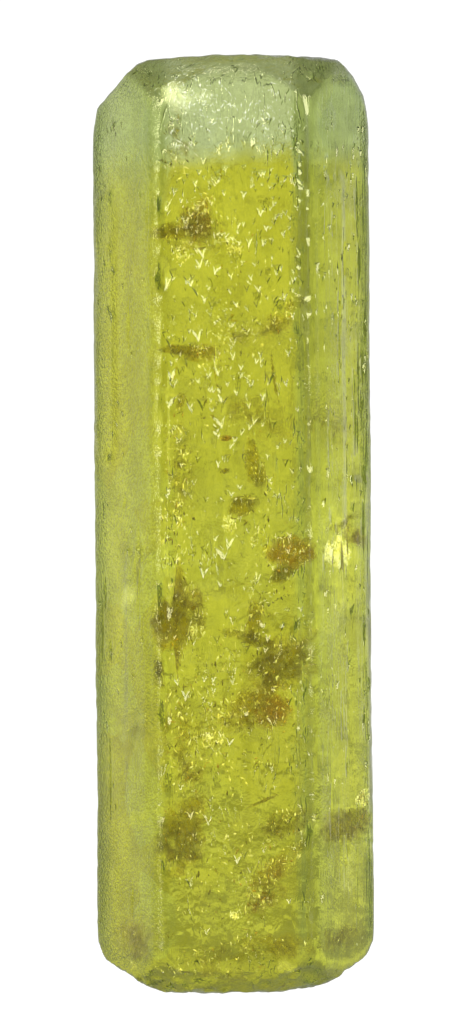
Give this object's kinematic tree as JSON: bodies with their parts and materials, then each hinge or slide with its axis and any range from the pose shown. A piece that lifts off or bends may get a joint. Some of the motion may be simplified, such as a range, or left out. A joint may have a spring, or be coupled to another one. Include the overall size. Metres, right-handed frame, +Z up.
{
  "type": "heliodor crystal",
  "caption": "Tall six-sided prism of clear yellow-green beryl with a flat foot, a flat top, sloping corner faces and etched, striated sides.",
  "frame": {"origin": "middle of the flat foot, in the middle of the crystal's width and depth", "axes": "+Z up along the crystal's long axis, -Y out of the front prism face, +X to the right seen from the front"},
  "size_m": [0.013, 0.0108, 0.044],
  "materials": {
    "heliodor": "clear yellow-green beryl, lustrous, with fine etched pits and grooves"
  },
  "bodies": {
    "root": {"crystal": "heliodor"}
  },
  "joints": []
}
